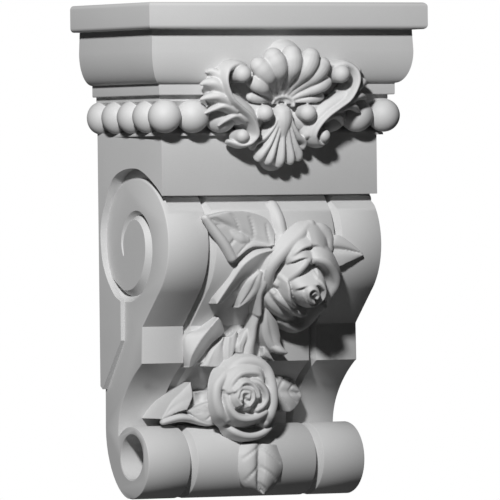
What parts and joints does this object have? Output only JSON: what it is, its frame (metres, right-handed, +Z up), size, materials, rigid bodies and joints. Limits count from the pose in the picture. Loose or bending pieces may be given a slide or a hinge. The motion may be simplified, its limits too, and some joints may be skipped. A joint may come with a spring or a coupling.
{
  "type": "corbel",
  "caption": "Moulded wall corbel: a slab and bead mouldings over a scrolled bracket, with a scallop shell and trailing roses on its front.",
  "frame": {"origin": "on the flat back that meets the wall, on the centre line, at about half the height", "axes": "+X to the viewer's right, +Y into the wall, +Z up, so the carved front faces -Y"},
  "size_m": [0.2, 0.1101, 0.3082],
  "materials": {
    "primed_casting": "factory primed, matte light grey"
  },
  "bodies": {
    "root": {"corbel": "primed_casting"}
  },
  "joints": []
}
